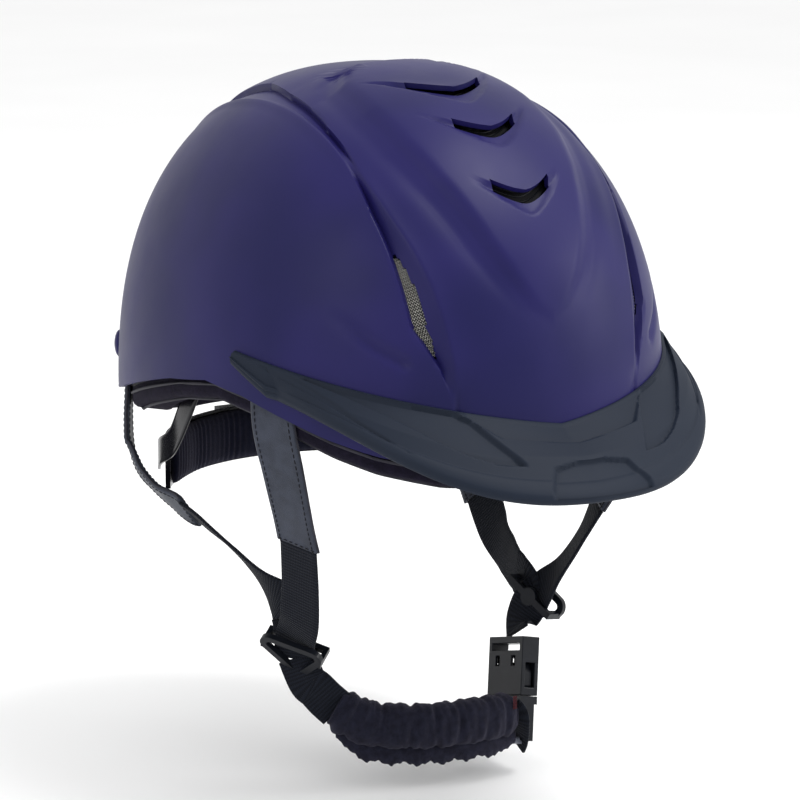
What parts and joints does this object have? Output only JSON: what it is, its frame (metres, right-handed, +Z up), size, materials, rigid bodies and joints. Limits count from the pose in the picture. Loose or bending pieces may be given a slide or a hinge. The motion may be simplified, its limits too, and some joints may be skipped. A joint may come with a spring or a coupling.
{
  "type": "equestrian riding helmet",
  "caption": "Riding helmet with a domed shell, flexible peak, padded foam liner, dial-adjusted nape cradle and a four-point harness with a side-release chin buckle.",
  "frame": {"origin": "middle of the wearer's head, level with the brow, on the helmet's middle plane", "axes": "+Z up, -Y the way the wearer faces, +X the wearer's left"},
  "size_m": [0.2132, 0.3099, 0.3034],
  "materials": {
    "shell": "satin",
    "foam": "matte",
    "felt": "brushed",
    "peak": "matte",
    "mesh": "satin",
    "metal": "satin",
    "cover": "satin",
    "webbing": "woven",
    "plastic": "satin",
    "gloss": "gloss",
    "velvet": "brushed"
  },
  "bodies": {
    "helmet": {"outer_shell": "shell", "eps_liner": "foam", "liner_trim": "felt", "visor": "peak", "visor_pegs": "metal", "side_vent_mesh_left": "mesh", "side_vent_mesh_right": "mesh", "chevron_vent_mesh": "mesh", "shell_rivets_rear": "shell", "shell_rivets_front": "shell", "anchor_washers": "metal", "brow_pad": "felt", "side_pad_left": "felt", "side_pad_right": "felt", "crown_pad": "felt", "front_strap_cover_left": "cover", "front_strap_cover_right": "cover", "rear_strap_cover_left": "cover", "rear_strap_cover_right": "cover", "front_strap_left": "webbing", "front_strap_right": "webbing", "rear_strap_left": "webbing", "rear_strap_right": "webbing", "buckle_socket": "plastic", "arm_left": "gloss", "arm_right": "gloss", "arm_anchors": "metal"},
    "cradle": {"cradle_band": "gloss", "cradle_pad": "velvet", "dial_housing": "plastic", "dial_cover": "plastic", "dial_screw": "metal"},
    "dial": {"dial_knob": "plastic"},
    "rack_l": {"rack_left": "plastic"},
    "rack_r": {"rack_right": "plastic"},
    "adjuster_l": {"adjuster_left": "plastic"},
    "adjuster_r": {"adjuster_right": "plastic"},
    "chin": {"buckle_plug": "plastic", "chin_webbing": "webbing", "chin_tail": "webbing", "chin_sleeve": "felt", "chin_flap": "felt"},
    "prong_f": {"buckle_prong_front": "plastic"},
    "prong_r": {"buckle_prong_rear": "plastic"}
  },
  "joints": [
    {"name": "dial_spin", "type": "hinge", "parent": "cradle", "child": "dial", "pos_m": [0, 0.11, -0.014], "axis": [0, -1, 0], "range_deg": [0, 90]},
    {"name": "cradle_slide", "type": "slide", "parent": "helmet", "child": "cradle", "axis": [0, -1, 0], "range_m": [0, 0.00596], "deforming": ["arm_left", "arm_right"]},
    {"name": "rack_left_slide", "type": "slide", "parent": "cradle", "child": "rack_l", "axis": [-1, 0, 0], "range_m": [0, 0.0079]},
    {"name": "rack_right_slide", "type": "slide", "parent": "cradle", "child": "rack_r", "axis": [1, 0, 0], "range_m": [0, 0.0079]},
    {"name": "adjuster_left_slide", "type": "slide", "parent": "helmet", "child": "adjuster_l", "axis": [0.3285, -0.4224, 0.8448], "range_m": [-0.004, 0.012], "deforming": ["front_strap_left", "rear_strap_left"]},
    {"name": "adjuster_right_slide", "type": "slide", "parent": "helmet", "child": "adjuster_r", "axis": [-0.3079, -0.5661, 0.7647], "range_m": [-0.004, 0.012], "deforming": ["front_strap_right", "rear_strap_right"]},
    {"name": "buckle_slide", "type": "slide", "parent": "helmet", "child": "chin", "axis": [-0.2017, -0.2419, -0.9491], "range_m": [0, 0.018], "deforming": ["chin_webbing"]},
    {"name": "prong_front_press", "type": "slide", "parent": "chin", "child": "prong_f", "axis": [-0.0503, 0.9703, -0.2366], "range_m": [0, 0.002], "stiffness_N_per_m": 1500},
    {"name": "prong_rear_press", "type": "slide", "parent": "chin", "child": "prong_r", "axis": [0.0503, -0.9703, 0.2366], "range_m": [0, 0.002], "stiffness_N_per_m": 1500}
  ],
  "couplings": [
    {"joint": "dial_spin", "follows": "cradle_slide", "rad_per_m": 263.2},
    {"joint": "rack_left_slide", "follows": "cradle_slide", "ratio": 1.316},
    {"joint": "rack_right_slide", "follows": "cradle_slide", "ratio": 1.316}
  ]
}
